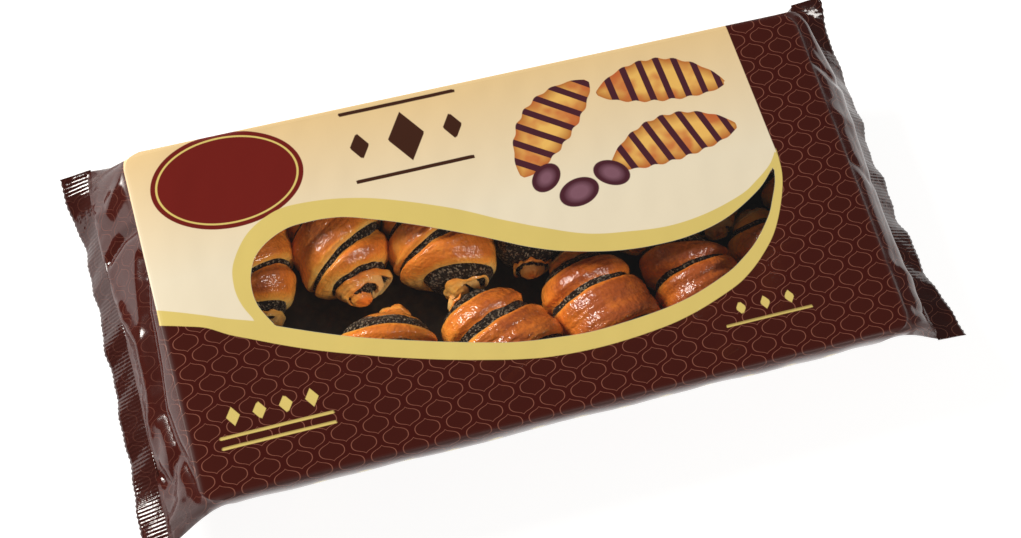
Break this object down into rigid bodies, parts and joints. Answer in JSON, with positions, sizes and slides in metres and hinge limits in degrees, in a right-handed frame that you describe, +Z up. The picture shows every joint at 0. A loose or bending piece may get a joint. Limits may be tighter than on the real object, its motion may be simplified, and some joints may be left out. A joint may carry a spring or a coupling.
{
  "type": "sealed pack of chocolate rugelach",
  "caption": "Flow-wrapped tray of rugelach: flat printed film with a clear window on top, slanted sides, and a crimped, wavy seal with ears at each end.",
  "frame": {"origin": "centre of the overall box, on the plane that the base rests on", "axes": "+X along the pack from one sealed end to the other, +Y from the front edge to the back edge, +Z up out of the printed top"},
  "size_m": [0.3334, 0.159, 0.045],
  "materials": {
    "printed_film": "gloss, deep brown print on thin biaxially stretched polypropylene, clear over the window",
    "tray": "satin, thermoformed black sheet",
    "baked_dough": "egg-glazed, golden to reddish brown",
    "chocolate_filling": "grainy, near black"
  },
  "bodies": {
    "root": {"pack": "printed_film"}
  },
  "joints": []
}
